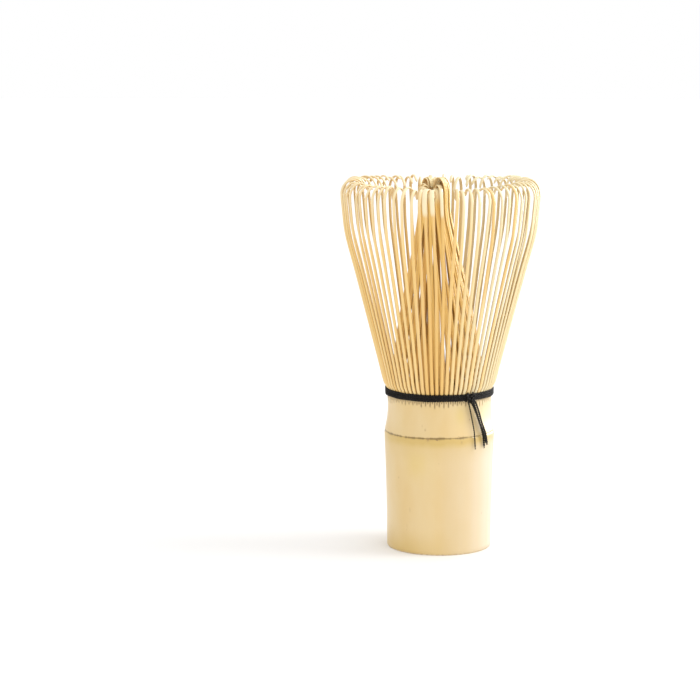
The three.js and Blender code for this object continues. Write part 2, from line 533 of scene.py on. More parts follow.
def curve_through(points: Sequence[Sequence[float]], spacing: int = 24) -> np.ndarray:
    """A smooth curve through points, whose tangents follow the neighbouring points.

    Args:
        points: the points, in two or three dimensions.
        spacing: how many samples lie between one point and the next.

    Returns:
        The samples, one row each.
    """
    known = np.asarray(points, float)
    knots = np.concatenate([[0.0], np.cumsum(np.sqrt(np.linalg.norm(np.diff(known, axis=0), axis=1)))])
    slopes = np.gradient(known, knots, axis=0, edge_order=1)
    steps = []
    for i in range(len(known) - 1):
        t = np.linspace(0, 1, spacing, endpoint=False)[:, None]
        span = knots[i + 1] - knots[i]
        start, end = known[i], known[i + 1]
        steps.append(
            start * (2 * t**3 - 3 * t**2 + 1)
            + end * (3 * t**2 - 2 * t**3)
            + slopes[i] * span * (t**3 - 2 * t**2 + t)
            + slopes[i + 1] * span * (t**3 - t**2)
        )
    return np.vstack([*steps, known[-1:]])


def lengths_along(curve: np.ndarray) -> np.ndarray:
    """How far each sample lies from the curve's start, along the curve."""
    return np.concatenate([[0.0], np.cumsum(np.linalg.norm(np.diff(curve, axis=0), axis=1))])


def resampled(curve: np.ndarray, lengths: np.ndarray) -> np.ndarray:
    """The curve's points at the given lengths from its start."""
    known = lengths_along(curve)
    return np.stack([np.interp(lengths, known, curve[:, axis]) for axis in range(curve.shape[1])], axis=1)


@dataclass
class Loft:
    """Tubes of joined rings, with what the finishes read at each point, before they become one piece."""

    name: str
    points: list[np.ndarray] = field(default_factory=list)
    faces: list[tuple[int, ...]] = field(default_factory=list)
    held: dict[str, list[np.ndarray]] = field(default_factory=dict)
    count: int = 0

    def tube(self, rings: np.ndarray, closed: bool = False, **held: np.ndarray) -> None:
        """Adds one tube.

        Args:
            rings: its points, as rings by points by three.
            closed: whether the last ring joins the first. Otherwise both ends are capped.
            held: named values for each point, of the same rings by points.
        """
        total, around = rings.shape[:2]
        index = self.count + np.arange(total * around).reshape(total, around)
        beside = np.roll(index, -1, axis=1)
        last = total if closed else total - 1
        for i in range(last):
            j = (i + 1) % total
            self.faces += zip(*(row.tolist() for row in (index[i], beside[i], beside[j], index[j])))
        if not closed:
            self.faces.append(tuple(index[0][::-1].tolist()))
            self.faces.append(tuple(index[-1].tolist()))
        self.points.append(rings.reshape(-1, 3))
        for name, values in held.items():
            self.held.setdefault(name, []).append(values.reshape(total * around, -1))
        self.count += total * around

    def piece(self, *materials: bpy.types.Material) -> bpy.types.Object:
        """Turns the tubes into one smooth-shaded object with those materials."""
        mesh = bpy.data.meshes.new(self.name)
        mesh.from_pydata(np.vstack(self.points).tolist(), [], self.faces)
        for name, parts in self.held.items():
            values = np.vstack(parts).astype(np.float32)
            kind, key = ("FLOAT_VECTOR", "vector") if values.shape[1] == 3 else ("FLOAT", "value")
            mesh.attributes.new(name, kind, "POINT").data.foreach_set(key, values.ravel())
        mesh.shade_smooth()
        for material in materials:
            mesh.materials.append(material)
        made = bpy.data.objects.new(self.name, mesh)
        bpy.context.scene.collection.objects.link(made)
        return made


def dressed(piece: bpy.types.Object, slot: str, *nodes: str) -> bpy.types.Object:
    """Hides the frame nodes that a piece stands for, and logs them."""
    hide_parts(*nodes)
    log.info("%s: %d vertices, for %s", piece.name, len(piece.data.vertices), ", ".join(nodes))
    return piece


# ---- The handle ----


class CulmFace(IntEnum):
    """The culm's material slots."""

    SKIN = 0
    CUT = 1


@dataclass(frozen=True)
class Patch:
    """A golden patch, or one of painted shade: degrees round, millimetres up, its reach in both, and its
    depth of colour.
    """

    turn: float
    height: float
    across: float
    tall: float
    depth: float


@dataclass(frozen=True)
class Blemish:
    """A dark spot: degrees round, millimetres up, its size in millimetres, and its depth of colour."""

    turn: float
    height: float
    size: float
    depth: float


@dataclass
class Culm:
    """The handle: a round, hollow length of culm with one node, slit at its top edge."""

    node_height: float = 35.4 * MM
    node_wander: float = 0.22 * MM
    scar_depth: float = 0.16 * MM
    scar_half_width: float = 0.25 * MM
    node_swell: float = 1.0 * MM
    wall: float = 2.9 * MM
    diaphragm: float = 2.0 * MM
    edge: float = 0.35 * MM
    slit_depth: float = 0.25 * MM
    slit_half_width: float = 0.085 * MM
    slit_columns: tuple[float, ...] = (-1.9, -0.5, 0.5, 1.9)
    slit_reach: tuple[float, float] = mm(1.30, 2.25)
    short_slit: float = 0.50
    inside_samples: int = 5
    patches: tuple[Patch, ...] = (
        Patch(-24.0, 27.5, 13.0, 4.5, 0.55),
        # Painted shade: the knot's shadow on the waist.
        Patch(24.0, 42.0, 7.0, 3.2, 0.60),
        Patch(130.0, 18.0, 20.0, 6.0, 0.40),
        Patch(-120.0, 22.0, 16.0, 7.0, 0.45),
    )
    blemishes: tuple[Blemish, ...] = (
        Blemish(-18.5, 38.9, 0.16, 0.55),
        Blemish(-15.0, 37.9, 0.22, 0.60),
        Blemish(-11.5, 35.2, 0.40, 0.85),
        Blemish(-33.0, 13.2, 0.20, 0.35),
        Blemish(-33.0, 9.8, 0.22, 0.45),
        Blemish(-37.0, 8.6, 0.20, 0.40),
        Blemish(24.0, 34.2, 0.30, 0.40),
        Blemish(118.0, 21.0, 0.25, 0.50),
        Blemish(201.0, 30.0, 0.30, 0.45),
    )
    seed: int = 7

    def scar_height(self, turn: np.ndarray) -> np.ndarray:
        """The height of the node's scar, which wanders a little round the culm.

        Args:
            turn: angles round the culm, in radians.

        Returns:
            A height for each.
        """
        wander = 0.45 * np.sin(turn + 0.6) + 0.30 * np.sin(2 * turn - 0.9) + 0.20 * np.sin(5 * turn + 2.0)
        wander += 0.10 * np.sin(13 * turn + 0.4) + 0.08 * np.sin(29 * turn)
        return self.node_height + self.node_wander * wander

    def skin_profile(self) -> np.ndarray:
        """Radius and height up the outside, finely spaced at the scar and where the slits run out.

        Returns:
            One row of radius and height for each ring, from the foot up.
        """
        node = CULM_RADIUS
        shape = np.array(
            [
                mm(15.62, 0.35),
                mm(15.66, 4.0),
                mm(15.76, 12.0),
                mm(15.95, 18.0),
                mm(16.12, 24.0),
                mm(16.30, 29.0),
                (node - 0.06 * MM, 32.2 * MM),
                (node, 34.0 * MM),
                (node - 0.03 * MM, 35.2 * MM),
                (node - 0.14 * MM, 35.9 * MM),
                (node - 0.34 * MM, 36.9 * MM),
                mm(15.74, 39.2),
                mm(15.52, 41.8),
                mm(15.50, 43.6),
                mm(15.60, 45.4),
                mm(15.66, 46.6),
            ]
        )
        heights = np.concatenate(
            [
                np.linspace(0.35, 34.3, 34, endpoint=False),
                np.linspace(34.3, 36.6, 32, endpoint=False),
                np.linspace(36.6, 44.8, 20, endpoint=False),
                np.linspace(44.8, 46.6, 22),
            ]
        )
        smooth = curve_through(shape)
        return np.stack([np.interp(heights * MM, smooth[:, 1], smooth[:, 0]), heights * MM], axis=1)

    def turns(self) -> np.ndarray:
        """The turn of each column, five to a slit: a lip, two in its mouth, a lip, and one between slits.

        Returns:
            The angles, in radians.
        """
        slits = 2 * len(OUTER_NODES) * TINES_PER_SPLINT
        pitch = 2 * math.pi / slits
        offsets = np.array(self.slit_columns) * self.slit_half_width / CULM_RADIUS
        return (np.arange(slits)[:, None] * pitch + np.append(offsets, pitch / 2)).ravel()

    def hollow_profile(self, bore: float) -> np.ndarray:
        """Radius and height inside, from under the diaphragm down to the foot.

        Args:
            bore: the radius of the hollow.

        Returns:
            One row of radius and height for each ring.
        """
        under = self.node_height - self.diaphragm / 2
        points = [
            (0.3 * MM, under),
            (bore * 0.6, under - 0.1 * MM),
            (bore * 0.9, under - 0.7 * MM),
            (bore * 0.985, under - 2.2 * MM),
            (bore, under - 5.0 * MM),
            (bore + 0.05 * MM, under - 18 * MM),
            (bore + 0.1 * MM, self.edge),
        ]
        return curve_through(points, self.inside_samples)

    def cup_profile(self, bore: float, rim: float) -> np.ndarray:
        """Radius and height inside, from the rim under the tines down to the top of the diaphragm.

        Args:
            bore: the radius of the cup.
            rim: the height of its rim.

        Returns:
            One row of radius and height for each ring.
        """
        over = self.node_height + self.diaphragm / 2
        points = [
            (bore + 0.35 * MM, rim),
            (bore + 0.3 * MM, over + 6 * MM),
            (bore + 0.1 * MM, over + 2.6 * MM),
            (bore * 0.9, over + 0.7 * MM),
            (bore * 0.5, over + 0.1 * MM),
            (0.3 * MM, over),
        ]
        return curve_through(points, self.inside_samples)

    def build(self, finishes: Finishes) -> bpy.types.Object:
        """Makes the handle and lets it ride on its body.

        Args:
            finishes: the materials.

        Returns:
            The piece.
        """
        skin = self.skin_profile()
        bore = CULM_RADIUS - self.node_swell - self.wall
        hollow = self.hollow_profile(bore)
        base = np.array([(bore + 0.1 * MM + self.edge * 0.6, 0.0), (skin[0, 0] - self.edge * 0.8, 0.0)])
        profile = np.vstack([hollow, base, skin, self.cup_profile(bore, skin[-1, 1])])
        first = len(hollow) + len(base)
        last = first + len(skin)
        turn = self.turns()
        radius = np.repeat(profile[:, :1], len(turn), axis=1)
        height = np.repeat(profile[:, 1:], len(turn), axis=1)
        held = self.shape_skin(radius[first:last], height[first:last], turn)
        fields = {name: np.zeros_like(radius) for name in (*held, "end_grain")}
        for name, values in held.items():
            fields[name][first:last] = values
        fields["end_grain"][len(hollow) - 1 : first + 1] = 1.0
        rings = np.stack([radius * np.sin(turn), -radius * np.cos(turn), height], axis=2)
        loft = Loft("culm")
        loft.tube(rings[:, ::-1], **{name: values[:, ::-1] for name, values in fields.items()})
        piece = loft.piece(finishes.skin, finishes.cut)
        self.assign_cut(piece, len(turn), first, last)
        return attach(dressed(piece, "bamboo_culm", HANDLE), HANDLE)

    def shape_skin(self, radius: np.ndarray, height: np.ndarray, turn: np.ndarray) -> dict[str, np.ndarray]:
        """Works the outside, in place: not quite round, with the scar's groove and the slits.

        Args:
            radius: the skin's radius, rows by columns.
            height: the skin's height, rows by columns.
            turn: each column's turn.

        Returns:
            What the finish reads: scar, the stain with painted shade at the foot, mark, painted shade in the
                slits, painted light, and gold with the knot's painted shade, each rows by columns.
        """
        rough = np.array([noise_round(t, 7, 0.5) for t in turn])
        fine = np.array([noise_round(t, 40, 1.5) for t in turn])
        away = height - self.scar_height(turn)
        self.press(radius, height, turn)
        scar = self.cut_scar(radius, away, turn, rough, fine)
        return {
            "scar": scar,
            "stain_and_foot_shade": self.stain_and_foot_shade(height, away, turn, rough),
            "mark": self.dark_marks(height, turn),
            "slit_shade": self.cut_slits(radius, height),
            "bleach": self.bleach(height, from_front(turn), rough),
            "gold_and_knot_shade": self.golden_and_knot_shade(height, from_front(turn), rough),
        }

    @staticmethod
    def press(radius: np.ndarray, height: np.ndarray, turn: np.ndarray) -> None:
        """Takes the roundness off the skin's radius, in place, except at the binding.

        Args:
            radius: the skin's radius at each point.
            height: the height of each point.
            turn: the angle of each point, in radians.
        """
        fade = 1 - smooth_step(38 * MM, 45 * MM, height)
        radius -= fade * 0.07 * MM * (1 + np.cos(2 * turn + 0.7)) / 2
        radius -= fade * 0.04 * MM * (1 + np.sin(3 * turn)) / 2

    def cut_scar(
        self, radius: np.ndarray, away: np.ndarray, turn: np.ndarray, rough: np.ndarray, fine: np.ndarray
    ) -> np.ndarray:
        """Cuts the scar's groove into the skin's radius, in place, and raises a lip under it.

        Args:
            radius: the skin's radius, rows by columns.
            away: how far each point lies above the scar.
            turn: each column's turn.
            rough: coarse noise for each column.
            fine: fine noise for each column.

        Returns:
            How dark the scar is at each point: broken up, and faint on the whisk's right.
        """
        width = self.scar_half_width * (1 + 0.7 * rough + 0.5 * fine)
        groove = np.exp(-((away / width) ** 2))
        strength = np.clip(0.95 + 0.5 * rough + 0.4 * fine, 0.30, 1.0)
        strength = strength * (1 - 0.75 * smooth_step(0.55, 1.3, np.sin(turn) + 0.25))
        radius -= groove * self.scar_depth * (0.6 + 0.4 * strength)
        lip = np.exp(-(((away + 0.55 * MM) / (0.35 * MM)) ** 2))
        radius += lip * 0.05 * MM * (0.5 + rough)
        return groove * strength * 0.9

    @staticmethod
    def stain_and_foot_shade(height: np.ndarray, away: np.ndarray, turn: np.ndarray, rough: np.ndarray) -> np.ndarray:
        """How green each point is: a stain strongly under the scar and faintly far below it, and painted
        shade at the foot's left.

        Args:
            height: the height of each point.
            away: how far each point is above the scar.
            turn: the angle of each point, in radians.
            rough: a noise at each point.

        Returns:
            Shares, from 0 to 1.
        """
        above = 1 - smooth_step(-0.1 * MM, 0.5 * MM, away)
        stain_and_foot_shade = smooth_step(-3.6 * MM, -0.4 * MM, away) * above * (0.75 + 0.5 * np.clip(rough + 0.3, 0, 1))
        above = 1 - smooth_step(-0.1 * MM, 0.3 * MM, away)
        stain_and_foot_shade = stain_and_foot_shade + 0.35 * smooth_step(-9.0 * MM, -1.0 * MM, away) * above
        # Painted shade at the foot, on the whisk's left, away from the light.
        side = np.clip(0.1 + 0.9 * np.cos(turn + 1.3), 0.0, 1.0)
        return stain_and_foot_shade + 0.8 * (1 - smooth_step(0.0, 9.0 * MM, height)) * side

    @staticmethod
    def bleach(height: np.ndarray, bearing: np.ndarray, rough: np.ndarray) -> np.ndarray:
        """How much painted light each point gets: in two steps towards the right, and only below the scar.

        Args:
            height: the height of each point.
            bearing: the angle of each point from the front.
            rough: a noise at each point.

        Returns:
            Shares, from 0 to 1.
        """
        bleach = 0.35 * smooth_step(*np.radians((-4, 16)), bearing)
        bleach = bleach + 0.45 * smooth_step(*np.radians((18, 62)), bearing)
        bleach = bleach * (1 - smooth_step(*np.radians((120, 170)), bearing))
        return bleach * (1 - smooth_step(33.0 * MM, 35.6 * MM, height)) * (1 + 0.25 * rough)

    def golden_and_knot_shade(self, height: np.ndarray, bearing: np.ndarray, rough: np.ndarray) -> np.ndarray:
        """How golden each point is, the patch below the knot being painted shade.

        Args:
            height: the height of each point.
            bearing: the angle of each point from the front.
            rough: a noise at each point.

        Returns:
            Shares, from 0 to 1.
        """
        gold_and_knot_shade = np.zeros_like(height)
        for patch in self.patches:
            across = (bearing - math.radians(patch.turn)) / math.radians(patch.across)
            gap = np.hypot(across, (height - patch.height * MM) / (patch.tall * MM))
            gold_and_knot_shade = np.maximum(gold_and_knot_shade, patch.depth * np.exp(-(gap**2)) * (1 + 0.3 * rough))
        return gold_and_knot_shade

    def dark_marks(self, height: np.ndarray, turn: np.ndarray) -> np.ndarray:
        """How dark each point is from the blemishes, which are a little taller than they are wide.

        Args:
            height: the height of each point.
            turn: the angle of each point, in radians.

        Returns:
            Shares, from 0 to 1.
        """
        mark = np.zeros_like(height)
        for spot in self.blemishes:
            across = from_front(turn - math.radians(spot.turn)) * CULM_RADIUS
            gap = np.hypot(across, (height - spot.height * MM) * 0.8) / (spot.size * MM)
            mark = np.maximum(mark, spot.depth * np.exp(-(gap**2)))
        return mark

    def cut_slits(self, radius: np.ndarray, height: np.ndarray) -> np.ndarray:
        """Cuts the slits into the skin's radius, in place, and gives the painted shade in and beside them at
        each point.

        Those at the gaps between outer tines reach furthest down. The ones behind the tines are short.

        Args:
            radius: the skin's radius at each point.
            height: the height of each point.

        Returns:
            Shares, from 0 to 1.
        """
        dice = random.Random(self.seed)
        slit_shade = np.zeros_like(radius)
        lip_left, mouth_left, mouth_right, lip_right = range(len(self.slit_columns))
        columns = len(self.slit_columns) + 1
        for column in range(0, radius.shape[1], columns):
            reach = dice.uniform(*self.slit_reach) * (self.short_slit if column % 2 else 1.0)
            end = CULM_TOP + 0.3 * MM - reach
            open_by = smooth_step(end - 0.15 * MM, end + 0.45 * MM, height[:, column])
            # The slits' mouths get deep painted shade, their lips a lighter one.
            for offset in (mouth_left, mouth_right):
                radius[:, column + offset] -= self.slit_depth * open_by
                slit_shade[:, column + offset] = 0.9 * open_by
            for offset in (lip_left, lip_right):
                slit_shade[:, column + offset] = 0.45 * open_by
        return slit_shade

    @staticmethod
    def assign_cut(piece: bpy.types.Object, around: int, first: int, last: int) -> None:
        """Gives every face that isn't on the outside the cut finish.

        Args:
            piece: the culm, whose faces run ring by ring.
            around: how many faces a ring has.
            first: the skin's first ring.
            last: the ring after the skin's last one.
        """
        for polygon in piece.data.polygons:
            ring = polygon.index // around
            on_skin = first <= ring < last - 1
            polygon.material_index = CulmFace.SKIN if on_skin else CulmFace.CUT


# ---- The tines ----


@dataclass(frozen=True)
class Section:
    """A tine's cross-section: a flat strip with eased corners and a slightly round outer face."""

    corner: float = 0.24
    crown: float = 0.10

    def outline(self) -> np.ndarray:
        """Across and depth of each point, as shares of the width and of the thickness, counterclockwise."""
        c = self.corner
        return np.array(
            [
                (-0.5 + c, 0.0),
                (0.0, self.crown),
                (0.5 - c, 0.0),
                (0.5 - 0.25 * c, -0.25),
                (0.5, -0.5),
                (0.5 - 0.35 * c, -0.85),
                (0.5 - c, -1.0),
                (-0.5 + c, -1.0),
                (-0.5 + 0.35 * c, -0.85),
                (-0.5, -0.5),
                (-0.5 + 0.25 * c, -0.25),
            ]
        )

    def skin(self) -> np.ndarray:
        """How far each point belongs to the outer face."""
        return np.array([1.0, 1.0, 1.0, 0.3, 0.0, 0.0, 0.0, 0.0, 0.0, 0.0, 0.3])

    def seam(self) -> np.ndarray:
        """How much painted shade each point gets at the inner edge of a split side, for the shadowed gap
        between tines.
        """
        return np.array([0.0, 0.0, 0.0, 0.0, 0.1, 1.0, 0.3, 0.3, 1.0, 0.1, 0.0])


# A tone that sets in before the root holds over the whole tine.
WHOLE_TINE = (-1.0, -0.5)


@dataclass
class Tine:
    """One tine, on a side view of its outer face that is then swayed and twisted.

    Places along it are shares of its length, from 0 at the root to 1 at the tip of the hook. Its widths and
    thicknesses are spaced evenly over that length. Its sway holds rows of share and distance to the side.
    """

    turn: float
    face: np.ndarray
    widths: tuple[float, ...]
    thicknesses: tuple[float, ...]
    sway: np.ndarray
    twist: float
    tone: float
    grain_offset: float
    hook_start: float
    # How much painted light the tine gets, as if lit from the whisk's right.
    bleach: float = 0.0
    ripening: float = 1.0
    tone_reach: tuple[float, float] = WHOLE_TINE
    tip_breadth: float = 1.0
    section: Section = Section()
    straight_steps: int = 26
    hook_steps: int = 26
    broad_tip: tuple[float, float] = (0.74, 0.84)
    rounded_share: float = 0.012
    blunt: float = 0.35

    def shares(self) -> np.ndarray:
        """Where the tine's rings lie: closer together in the hook."""
        near = np.linspace(0, self.hook_start, self.straight_steps, endpoint=False)
        return np.concatenate([near, np.linspace(self.hook_start, 1, self.hook_steps)])

    def rounding(self, share: np.ndarray) -> np.ndarray:
        """How far the section has shrunk at each share, where the tip is rounded off."""
        inward = 1 - np.clip((1 - share) / self.rounded_share, 0.0, 1.0)
        return self.blunt + (1 - self.blunt) * np.sqrt(1 - inward**2)

    def add_to(self, loft: Loft) -> None:
        """Adds the tine's tube to a loft.

        Args:
            loft: where the tube goes.
        """
        total = lengths_along(self.face)[-1]
        share = self.shares()
        path = resampled(self.face, share * total)
        along = np.gradient(path, share * total, axis=0)
        along /= np.linalg.norm(along, axis=1)[:, None]
        width = np.interp(share, np.linspace(0, 1, len(self.widths)), self.widths)
        tip = smooth_step(*self.broad_tip, share)
        width *= 1 + (self.tip_breadth - 1) * tip
        thick = np.interp(share, np.linspace(0, 1, len(self.thicknesses)), self.thicknesses)
        ease = self.rounding(share)
        outline = self.section.outline()
        half = 0.5 * thick[:, None]
        across = outline[:, 0] * (width * ease)[:, None]
        depth = -half + (outline[:, 1] + 0.5) * (thick * ease)[:, None]
        angle = (self.twist * share**1.5)[:, None]
        side = across * np.cos(angle) - (depth + half) * np.sin(angle)
        side += np.interp(share, self.sway[:, 0], self.sway[:, 1])[:, None]
        lift = across * np.sin(angle) + (depth + half) * np.cos(angle) - half
        radius = path[:, :1] + along[:, 1:] * lift
        height = path[:, 1:] - along[:, :1] * lift
        out, around = out_from_axis(self.turn), round_axis(self.turn)
        rings = np.stack(
            [radius * out.x + side * around.x, radius * out.y + side * around.y, height],
            axis=2,
        )
        grain = np.stack(
            [across + self.grain_offset, depth, np.broadcast_to((share * total)[:, None], across.shape)],
            axis=2,
        )
        whole = np.ones_like(across)
        # The pale tip colour is partly a painted highlight; the tines also carry painted light on the whisk's
        # right and back, and painted shade along the inner edges of their split sides.
        loft.tube(
            rings[:, ::-1],
            grain=grain[:, ::-1],
            share=whole * np.maximum(share**self.ripening, tip * (self.tip_breadth > 1))[:, None],
            tone=whole * self.tone * smooth_step(*self.tone_reach, share)[:, None],
            bleach=whole * (self.bleach * np.clip(1.15 - 0.30 * share, 0.0, 1.0))[:, None],
            skin=(whole * self.section.skin())[:, ::-1],
            seam=(whole * self.section.seam() * smooth_step(1.0, 0.8, share)[:, None])[:, ::-1],
        )


@dataclass(frozen=True)
class Stance:
    """How an outer tine differs from a plain one.

    Drift is how far aside it stands below its hook, and lean how much further its tip does, in millimetres.
    A tip broader than 1 is pale all over, as a painted highlight where its hook catches the light, and a
    higher ripening keeps the pale colour nearer the tip.
    """

    drift: float
    lean: float
    tip_breadth: float = 1.0
    tone: float = 0.3
    ripening: float = 1.0


@dataclass
class OuterCrown:
    """The thick outer tines: straight through the binding, flared, and hooked inward at the tips.

    A range holds the least and the greatest factor that a size is taken times. A spread is a standard
    deviation, in metres or degrees.
    """

    root_radius: float = 15.62 * MM
    hook_start: float = 0.74
    flare: tuple[float, float] = mm(16.72, 49.9)
    knee: tuple[float, float] = mm(28.5, 95.0)
    hook_reach: float = 3.7 * MM
    hook_rise: float = 4.4 * MM
    hook_turn: float = math.radians(150)
    crown_inset: float = 0.45 * MM
    side_rise: float = 1.1 * MM
    out_spread: float = 0.28 * MM
    top_drop: float = 0.9 * MM
    reach_range: tuple[float, float] = (0.86, 1.18)
    rise_range: tuple[float, float] = (0.90, 1.06)
    curl_range: tuple[float, float] = (0.84, 1.20)
    width_range: tuple[float, float] = (0.93, 1.06)
    thickness_range: tuple[float, float] = (0.90, 1.10)
    bleach_range: tuple[float, float] = (0.75, 1.0)
    twist_spread: float = 4.0
    widths: tuple[float, ...] = mm(1.05, 0.99, 0.88)
    thicknesses: tuple[float, ...] = mm(0.62, 0.52, 0.50)
    amber_turns: tuple[float, ...] = (math.radians(32.5), math.radians(47.5))
    amber_tone: float = 0.95
    amber_breadth: float = 1.2
    amber_bleach: float = 0.2
    amber_ripening: float = 3.0
    amber_reach: tuple[float, float] = (0.30, 0.50)
    front: dict[float, Stance] = field(
        default_factory=lambda: {
            -22.5: Stance(0.60, 0.4, tone=0.50),
            -17.5: Stance(0.67, -0.5, tone=0.72),
            -12.5: Stance(0.34, -0.3, 1.0, 0.90, 1.9),
            -7.5: Stance(-0.95, 0.9, 1.75, 0.95, 2.4),
            -2.5: Stance(-1.35, 0.9, 1.55, 0.95, 2.4),
            2.5: Stance(-1.10, 0.5, 1.10, 0.92, 2.2),
            7.5: Stance(1.25, 0.2, 1.0, 0.75, 1.8),
            12.5: Stance(0.40, -0.3, tone=0.50),
            17.5: Stance(0.26, 0.2),
            22.5: Stance(0.00, 0.5),
            27.5: Stance(0.80, -0.4),
            32.5: Stance(-0.60, -0.9),
        }
    )
    seed: int = 41

    def face(self, turn: float, dice: random.Random) -> np.ndarray:
        """The side view of one tine's outer face, no two alike.

        Args:
            turn: the angle of the tine.
            dice: the source of its unevenness.

        Returns:
            One row of radius and height for each step up the tine.
        """
        out = dice.gauss(0, self.out_spread)
        reach = self.hook_reach * dice.uniform(*self.reach_range)
        rise = self.hook_rise * dice.uniform(*self.rise_range)
        top = CROWN_TOP - dice.uniform(0.0, self.top_drop) + self.side_rise * math.sin(turn) ** 2
        end = self.hook_turn * dice.uniform(*self.curl_range)
        crown = CROWN_RADIUS - self.crown_inset + min(out, 0.4 * MM)
        foot = CULM_TOP + 0.3 * MM
        turns = np.linspace(0.12, end, 9)
        hook = [(crown - reach * (1 - math.cos(t)), top - rise * (1 - math.sin(t))) for t in turns]
        stem = [(self.root_radius, foot), (self.root_radius + 0.02 * MM, BAND_HIGH - 0.5 * MM), self.flare]
        for risen in (0.12, 0.40, 0.75, 1.0):
            radius = self.flare[0] + (self.knee[0] - self.flare[0]) * risen + out * risen**2
            stem.append((radius, self.flare[1] + (self.knee[1] - self.flare[1]) * risen))
        neck = (crown - self.crown_inset, (self.knee[1] + top - rise) / 2 + 0.4 * MM)
        return curve_through([*stem, neck, *hook])

    @staticmethod
    def bleach(bearing: float) -> float:
        """How much painted light a tine at that turn from the front gets: on the right and round to the back,
        a little less at its middle.

        Args:
            bearing: the angle of the tine from the front, in degrees.

        Returns:
            A share, from 0 to 1.
        """
        right = smooth_step(*np.radians((4, 42)), bearing)
        right *= 1 - smooth_step(*np.radians((160, 179)), bearing)
        middle = smooth_step(*np.radians((52, 75)), bearing) * smooth_step(*np.radians((120, 95)), bearing)
        return float(right * (1 - 0.30 * middle))

    def tine(self, turn: float, dice: random.Random) -> Tine:
        """One tine of the crown.

        Args:
            turn: the angle of the tine.
            dice: the source of its unevenness.

        Returns:
            The tine.
        """
        usual = Stance(dice.uniform(-0.42, 0.42), dice.gauss(0, 0.45), tone=dice.random() ** 1.4 * 0.9)
        bearing = from_front(turn)
        stands = self.front.get(round(math.degrees(bearing), 1), usual)
        drift, lean, bow = mm(stands.drift, stands.lean, dice.gauss(0, 0.10))
        amber = any(abs(bearing - amber_turn) < TINE_ANGLE / 2 for amber_turn in self.amber_turns)
        broad = self.amber_breadth if amber else 1.0
        # Painted light, weaker on the amber tines.
        bleach = self.bleach(bearing) * (self.amber_bleach if amber else 1.0)
        aside = bow * 1.6 + drift * 0.5
        sway = [(0, 0), (0.25, 0), (0.5, bow), (0.75, aside), (0.92, drift), (1, drift + lean)]
        return Tine(
            turn=turn,
            widths=tuple(width * dice.uniform(*self.width_range) * broad for width in self.widths),
            face=self.face(turn, dice),
            thicknesses=tuple(thick * dice.uniform(*self.thickness_range) for thick in self.thicknesses),
            sway=np.array(sway),
            twist=math.radians(dice.gauss(0, self.twist_spread)),
            tone=self.amber_tone if amber else stands.tone,
            grain_offset=dice.uniform(0, 1),
            hook_start=self.hook_start,
            bleach=bleach * dice.uniform(*self.bleach_range),
            ripening=self.amber_ripening if amber else stands.ripening,
            tone_reach=self.amber_reach if amber else WHOLE_TINE,
            tip_breadth=stands.tip_breadth,
        )

    def build(self, finishes: Finishes) -> list[bpy.types.Object]:
        """Makes each splint's tines as one piece.

        Args:
            finishes: the materials.

        Returns:
            The pieces.
        """
        dice = random.Random(self.seed)
        made = []
        for index, node in enumerate(OUTER_NODES):
            middle = splint_turn(index)
            loft = Loft(node.replace("splint", "tines"))
            for step in TINE_STEPS:
                self.tine(middle + step * TINE_ANGLE, dice).add_to(loft)
            piece = dressed(loft.piece(finishes.outer), "bamboo_tine", node)
            start = place(middle, self.root_radius, BAND_HIGH)
            end = place(middle, *mm(25.0, 82.0))
            made.append(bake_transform(piece))
        return made


@dataclass(frozen=True)
class ApexHook:
    """How one inner splint ends: its hook, in millimetres, and where it stands against its neighbours."""

    top: float
    reach: float
    rise: float
    out: float
    aside: float
    deepness: float = 0.0


